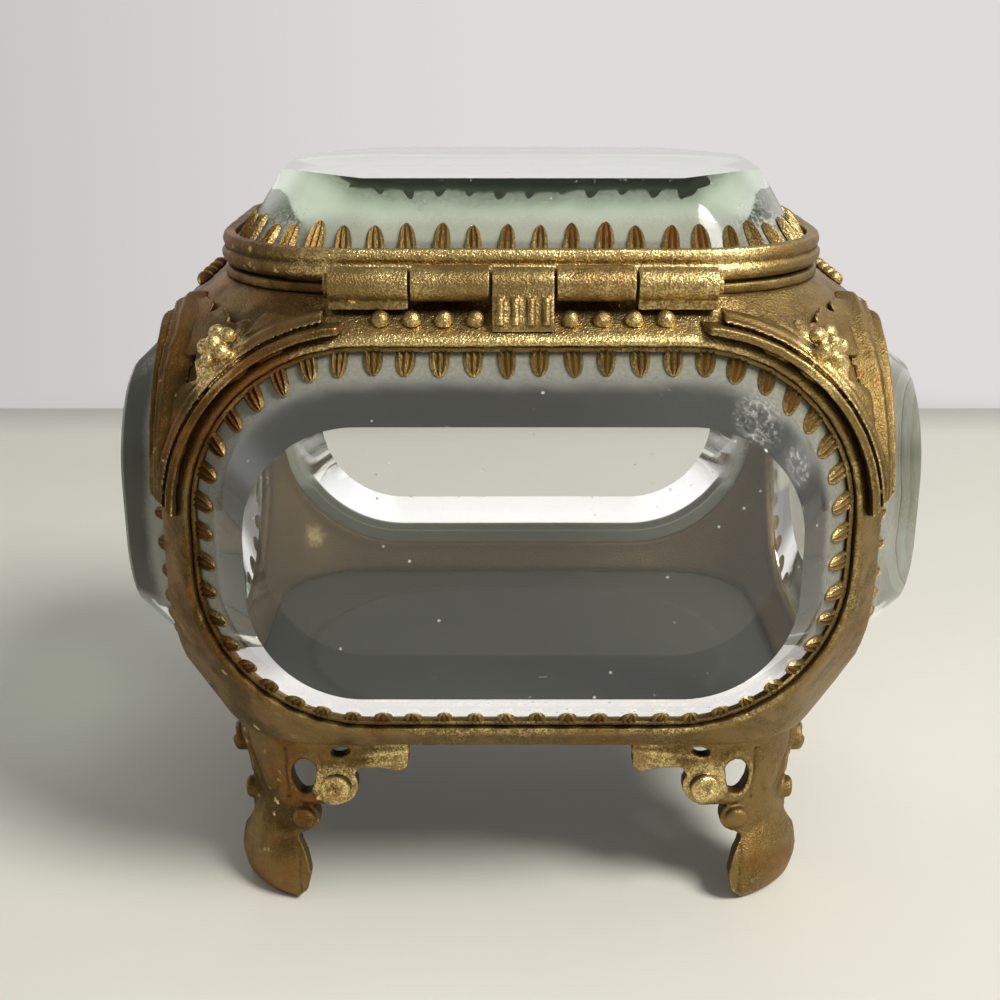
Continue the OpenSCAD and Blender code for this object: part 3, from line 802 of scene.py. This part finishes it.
class CASKET_OT_claws(bpy.types.Operator):
    """Folds the fluted claws of the five settings on to their panes"""

    bl_idname = "casket.claws"
    bl_label = "Claw settings"

    # How the hand-cut claws differ in turn, in radians, and in length, width and height
    twist = (-0.07, 0.07)
    spread = ((0.9, 1.06), (0.88, 1.06), (0.85, 1.1))
    # A claw's cross rows from root to tip, as shares of its (length, width, height), and its flutes
    rows = (
        (-0.05, 1.0, 0.95), (0.18, 1.0, 1.05), (0.42, 0.97, 1.10), (0.64, 0.88, 1.0),
        (0.82, 0.68, 0.82), (0.94, 0.42, 0.55), (1.0, 0.16, 0.25),
    )
    flutes = (0.15, 0.95, 0.42, 1.0, 0.42, 0.95, 0.15)
    lid_seed = 9

    def execute(self, context):
        opening, pane = context.scene.casket_opening, context.scene.casket_pane
        size, lid = context.scene.casket_claw, context.scene.casket_lid
        finish = gilt("bright_gilt_claws", shine=0.25, dark=0.7)
        height = opening.height - 2 * pane.inset
        corner = opening.corner - pane.inset
        for seed, side in enumerate(SIDES):
            width = opening_width(side) - 2 * pane.inset
            rim = pane.rim - pane.seat
            ring = self.ring(
                f"{side}_setting", width, height, corner, -pane.seat, rim, pane.rise,
                size.reach, lambda x, y, a: pane.bevel, seed,
            )
            ring.data.transform(on_face(side))
            set_down(ring, BODY, finish, "bright_gilt", f"{side}_claws")

        def lid_bevel(x, y, a):
            """Width of the lid's bevel in from a point of the rim, which faces the angle a."""
            c, s = math.cos(a), math.sin(a)
            half_w, half_d = lid.flat_width / 2, lid.flat_depth / 2
            side, end = half_w * c + (half_d - lid.cut) * s, (half_w - lid.cut) * c + half_d * s
            return x * c + y * s - max(side, end)

        rim = lid.ledge + pane.rim
        ring = self.ring(
            "lid_setting", lid.width, lid.depth, lid.corner, lid.ledge, rim,
            lid.top - lid.foot - rim, size.lid_reach, lid_bevel, self.lid_seed,
        )
        ring.data.transform(Matrix.Translation((0, 0, lid.foot)))
        set_down(ring, LID, finish, "bright_gilt", "lid_claws")
        return {"FINISHED"}

    def ring(self, name, width, height, corner, foot, rim, rise, reach, bevel_at, seed):
        """A strip round a pane of this size, with its claws on the bevel."""
        size = bpy.context.scene.casket_claw
        edge = size.gap + size.thick
        strip = rounded_sheet("strip", width + 2 * edge, height + 2 * edge, corner + edge, 20)
        with editing(strip):
            bpy.ops.mesh.inset(thickness=size.thick, depth=0)
            bpy.ops.mesh.delete(type="FACE")
            bpy.ops.mesh.select_all(action="SELECT")
            bpy.ops.transform.translate(value=(0, 0, foot))
            bpy.ops.mesh.extrude_region_move(
                TRANSFORM_OT_translate={"value": (0, 0, rim - foot + size.thick)}
            )
        face_out(strip)
        finish_shape(strip, "BEVEL", width=0.00018, segments=2, limit_method="ANGLE", angle_limit=0.8)
        smooth(strip, 40)

        # Claws are set out on one quarter of the rim, from the middle of a side to the next, and mirrored
        up = height / 2 - corner
        bend = math.pi / 2 * corner
        quarter = up + bend + width / 2 - corner
        count = round(quarter / size.pitch)
        hand = random.Random(seed)
        places = []
        for i in range(count):
            run = (i + 0.5) * quarter / count
            if run < up:
                x, y, a = width / 2, run, 0.0
            elif run < up + bend:
                a = (run - up) / corner
                x, y = width / 2 - corner + corner * math.cos(a), up + corner * math.sin(a)
            else:
                x, y, a = width / 2 - corner - (run - up - bend), height / 2, math.pi / 2
            tilt = math.atan(rise / bevel_at(x, y, a))
            for sx, sy in ((1, 1), (-1, 1), (-1, -1), (1, -1)):
                out = math.atan2(sy * math.sin(a), sx * math.cos(a))
                places.append(
                    Matrix.Translation((sx * x, sy * y, rim))
                    @ Matrix.Rotation(out + math.pi, 4, "Z")
                    @ Matrix.Rotation(-tilt, 4, "Y")
                    @ Matrix.Rotation(hand.uniform(*self.twist), 4, "Z")
                    @ Matrix.Diagonal((*(hand.uniform(*limits) for limits in self.spread), 1))
                )
        claws = copies(self.claw(reach), places, name)
        smooth(claws, 50)
        return joined([claws, strip], name)

    def claw(self, reach):
        """A fluted tongue along +X, with its root in the strip and a rounded tip."""
        size = bpy.context.scene.casket_claw
        half = size.width / 2
        aside = 20      # a row that is done goes this far off, so the next pick can't take it too
        bpy.ops.mesh.primitive_grid_add(x_subdivisions=6, y_subdivisions=6, size=2)
        piece = bpy.context.object
        with editing(piece):
            for i, height in enumerate(self.flutes):
                y = -1 + i / 3
                pick(piece, "VERT", lambda m: abs(m.y - y) < 0.01)
                bpy.ops.transform.translate(value=(0, 0, height))
            for i, (along, wide, tall) in enumerate(self.rows):
                x = -1 + i / 3
                pick(piece, "VERT", lambda m: abs(m.x - x) < 0.01 and m.z > -0.01)
                bpy.ops.transform.resize(
                    value=(1, wide * half, tall * size.thick * 0.98), center_override=(x, 0, 0)
                )
                bpy.ops.transform.translate(value=(aside + along * reach - x, 0, 0))
            bpy.ops.mesh.select_all(action="SELECT")
            bpy.ops.transform.translate(value=(-aside, 0, 0))
            bpy.ops.mesh.select_mode(type="EDGE")
            bpy.ops.mesh.region_to_loop()
            bpy.ops.mesh.extrude_edges_move()
            bpy.ops.transform.resize(value=(1, 1, 0), center_override=(0, 0, 0))
            bpy.ops.mesh.edge_face_add()
            bpy.ops.mesh.select_all(action="SELECT")
            bpy.ops.transform.translate(value=(0, 0, size.lift))
        return face_out(piece)


# ---------- body ----------


class CASKET_OT_body(bpy.types.Operator):
    """Casts the body, its collar and the floor sheet"""

    bl_idname = "casket.body"
    bl_label = "Body casting"

    # The hinge rail, rubbed bright by the lid and partly a painted highlight,
    # and a painted highlight low inside the back-left corner
    rubbed = [((0.0080, 0.0330, 0.0745), 0.0220, 0.62)]
    painted_highlights = [((-0.0325, 0.0285, 0.0300), 0.0030)]

    def execute(self, context):
        body = cast("body_frame", "body_casting", SKINS["body"])
        finish = gilt("aged_gilt_body", shine=0.28, dark=0.8, rubbed=self.rubbed, painted_highlights=self.painted_highlights)
        set_down(body, BODY, finish, "aged_gilt", "body_frame")
        collar = cast("top_collar", "collar", SKINS["collar"])
        set_down(collar, BODY, gilt("aged_gilt_collar", shine=0.12, dark=0.9), "aged_gilt", "top_collar")
        sheet = cast("floor_sheet", "bottom_sheet", SKINS["sheet"])
        set_down(sheet, BODY, dull_sheet(), "dull_sheet", "floor_sheet")
        return {"FINISHED"}


class CASKET_OT_leaves(bpy.types.Operator):
    """Chases the leaves on the four upper corners"""

    bl_idname = "casket.leaves"
    bl_label = "Corner leaves"

    # Rubbed gilt by each leaf's flower, partly a painted highlight
    rubbed = [((0.0350, 0.0312, 0.0728), 0.0062, 1.0)]

    # Chased relief: ribs in a band beside the openings, and veins round the flower
    ribs_from, ribs_to, rib_pitch, rib_height = 0.0021, 0.0042, 0.00068, 0.00013
    flower = (0.0355, 0.0315, 0.0205)
    veins, vein_curl, vein_height = 11, 380, 0.00011
    button, button_edge = 0.0025, 0.002

    def execute(self, context):
        finish = gilt("bright_gilt_leaves", shine=0.28, dark=0.75, rubbed=self.rubbed)
        for y in ("back", "front"):
            for x in ("left", "right"):
                node = f"leaf_{y}_{x}"
                leaf = cast(node, f"corner_{node}", SKINS["leaf"])
                chase(leaf, self.relief)
                set_down(leaf, BODY, finish, "bright_gilt", node)
        return {"FINISHED"}

    def relief(self, x, y, z):
        """Split ribs beside the two openings, and veins that curl out from the flower."""
        size = bpy.context.scene.casket_opening
        x, y, z = abs(x), abs(y), z - size.middle
        near = min(
            beyond(x, z, size.back_width / 2, size.height / 2, size.corner),
            beyond(y, z, size.side_width / 2, size.height / 2, size.corner),
        )
        ribs = 0.5 + 0.5 * math.cos(math.tau * (near - self.ribs_from) / self.rib_pitch + math.pi)
        if near < self.ribs_to:
            return self.rib_height * (ribs - 0.5)
        spot = Vector((x - self.flower[0], y - self.flower[1], z - self.flower[2]))
        run = spot.length
        turn = math.atan2(spot.z, (spot.x - spot.y) * 0.707)
        veins = math.cos(self.veins * turn + self.vein_curl * run)
        return self.vein_height * veins * min(1, max(0, (run - self.button) / self.button_edge))


class CASKET_OT_beads(bpy.types.Operator):
    """Sets the beads on the upper rail"""

    bl_idname = "casket.beads"
    bl_label = "Rail beads"

    def execute(self, context):
        beads = cast("rail_beads", "beads", SKINS["beads"])
        set_down(beads, BODY, gilt("bright_gilt_beads", shine=0.6, dark=0.6), "bright_gilt", "rail_beads")
        return {"FINISHED"}


# ---------- feet ----------


class CASKET_OT_feet(bpy.types.Operator):
    """Casts the four pierced scroll feet"""

    bl_idname = "casket.feet"
    bl_label = "Feet"

    # Rubbed gilt on the scroll and the curled leaf, partly painted highlights
    rubbed = [((0.0230, 0.0295, 0.0168), 0.0048, 0.55), ((0.0160, 0.0290, 0.0210), 0.0042, 0.40)]

    # Domes of the relief in mm, as (along the wing, over the floor, half width, half height)
    scroll = (0.7, 16.9, 3.4, 3.4)
    small_scroll = (4.4, 11.7, 2.1, 2.1)
    leaf = (-5.2, 21.2, 4.6, 2.2)
    curl = (-7.6, 20.5, 1.6, 1.6)
    pad = (9.9, 4.8, 5.6, 5.4)
    piercing = (4.2, 17.7, 1.75, 2.8)
    stem, toe = 6.9, 5.4            # grooves, along the wing
    wing_x, wing_y = 0.0226, 0.0151     # where the two wings start, in metres

    def execute(self, context):
        finish = gilt("aged_gilt_feet", shine=0.25, dark=0.6, rubbed=self.rubbed)
        for y in ("back", "front"):
            for x in ("left", "right"):
                node = f"foot_{y}_{x}"
                foot = cast(node, f"scroll_{node}", SKINS["foot"])
                chase(foot, self.relief)
                set_down(foot, BODY, finish, "aged_gilt", node)
        return {"FINISHED"}

    def relief(self, x, y, z):
        """Swelling scrolls with a spiral groove, a bead round the piercing, a curled leaf and a domed pad."""
        along, z = min(abs(x) - self.wing_x, abs(y) - self.wing_y) * 1000, z * 1000

        def off(shape):
            return along - shape[0], z - shape[1]

        def dome(shape):
            u, v = off(shape)
            return max(0, 1 - (u / shape[2]) ** 2 - (v / shape[3]) ** 2)

        def ridge(out, width):
            return math.exp(-((out / width) ** 2))

        u, v = off(self.scroll)
        spiral = math.cos(math.atan2(v, u) + 2.4 * math.hypot(u, v))
        scroll = dome(self.scroll) * (0.50 + 0.22 * spiral)
        small = 0.40 * dome(self.small_scroll)
        u, v = off(self.piercing)
        bead = 0.28 * ridge(math.hypot(u / self.piercing[2], v / self.piercing[3]) - 1.28, 0.2)
        leaf = dome(self.leaf) * (0.42 + 0.12 * math.cos(4.2 * off(self.leaf)[1] + 0.5 * along))
        curl = 0.35 * dome(self.curl)
        stem = -0.28 * ridge(along - self.stem, 0.45) * (13.5 < z < 21.5)
        pad = 0.55 * dome(self.pad) - 0.16 * ridge(along - self.toe, 0.35) * (z < 8)
        ends = min(1, max(0, z / 1.6), max(0, (23.0 - z) / 0.8))
        return 0.001 * ends * (max(scroll, bead, leaf, curl, small) + stem + pad)


# ---------- hinge ----------


class CASKET_OT_hinge(bpy.types.Operator):
    """Casts the hinge's knuckles and strap, and gives the pin its finish"""

    bl_idname = "casket.hinge"
    bl_label = "Hinge"

    def execute(self, context):
        finish = gilt("bright_gilt_hinge", shine=0.55, dark=0.45)
        for node, name, body in (
            ("body_knuckles", "hinge_body_knuckles", BODY),
            ("hinge_strap", "hinge_strap", BODY),
            ("lid_knuckles", "hinge_lid_knuckles", LID),
        ):
            set_down(cast(node, name, SKINS["hinge"]), body, finish, "bright_gilt", node)
        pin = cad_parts["hinge_pin"]
        pin.data.materials.clear()
        pin.data.materials.append(gilt("pin_metal", shine=0.1, dark=0.9))
        return {"FINISHED"}


# ---------- lid ----------


class CASKET_OT_lid(bpy.types.Operator):
    """Casts the lid frame and its thumbpiece"""

    bl_idname = "casket.lid"
    bl_label = "Lid casting"

    # Rubbed gilt along the middle of the front and back rails, partly a painted highlight
    rubbed = [((0.0100, 0.0270, 0.0820), 0.0240, 0.68)]

    def execute(self, context):
        lid = cast("lid_frame", "lid_casting", SKINS["lid"])
        finish = gilt("aged_gilt_lid", shine=0.30, dark=0.75, rubbed=self.rubbed)
        set_down(lid, LID, finish, "aged_gilt", "lid_frame")
        thumb = cast("lid_thumbpiece", "thumb_shell", SKINS["thumb"])
        finish = gilt("bright_gilt_thumb", shine=0.7, dark=0.5)
        set_down(thumb, LID, finish, "bright_gilt", "lid_thumbpiece")
        return {"FINISHED"}


class CASKET_PT_panel(bpy.types.Panel):
    """Lists the casket's pieces"""

    bl_idname = "CASKET_PT_panel"
    bl_label = "Glass Casket"
    bl_space_type = "VIEW_3D"
    bl_region_type = "UI"
    bl_category = "Casket"

    def draw(self, context):
        for operator in OPERATORS:
            self.layout.operator(operator.bl_idname)
        for name in GROUPS:
            box = self.layout.box()
            group = getattr(context.scene, name)
            for key in group.__annotations__:
                box.prop(group, key)


OPERATORS = (
    CASKET_OT_stage, CASKET_OT_panes, CASKET_OT_claws, CASKET_OT_body, CASKET_OT_leaves,
    CASKET_OT_beads, CASKET_OT_feet, CASKET_OT_hinge, CASKET_OT_lid,
)
CLASSES = (*GROUPS.values(), *OPERATORS, CASKET_PT_panel)


def register():
    for kind in CLASSES:
        bpy.utils.register_class(kind)
    for name, group in GROUPS.items():
        setattr(bpy.types.Scene, name, PointerProperty(type=group))


def unregister():
    for name in GROUPS:
        delattr(bpy.types.Scene, name)
    for kind in reversed(CLASSES):
        bpy.utils.unregister_class(kind)


def main():
    register()
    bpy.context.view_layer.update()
    for operator in OPERATORS:
        group, name = operator.bl_idname.split(".")
        getattr(getattr(bpy.ops, group), name)()


if __name__ == "__main__":
    main()
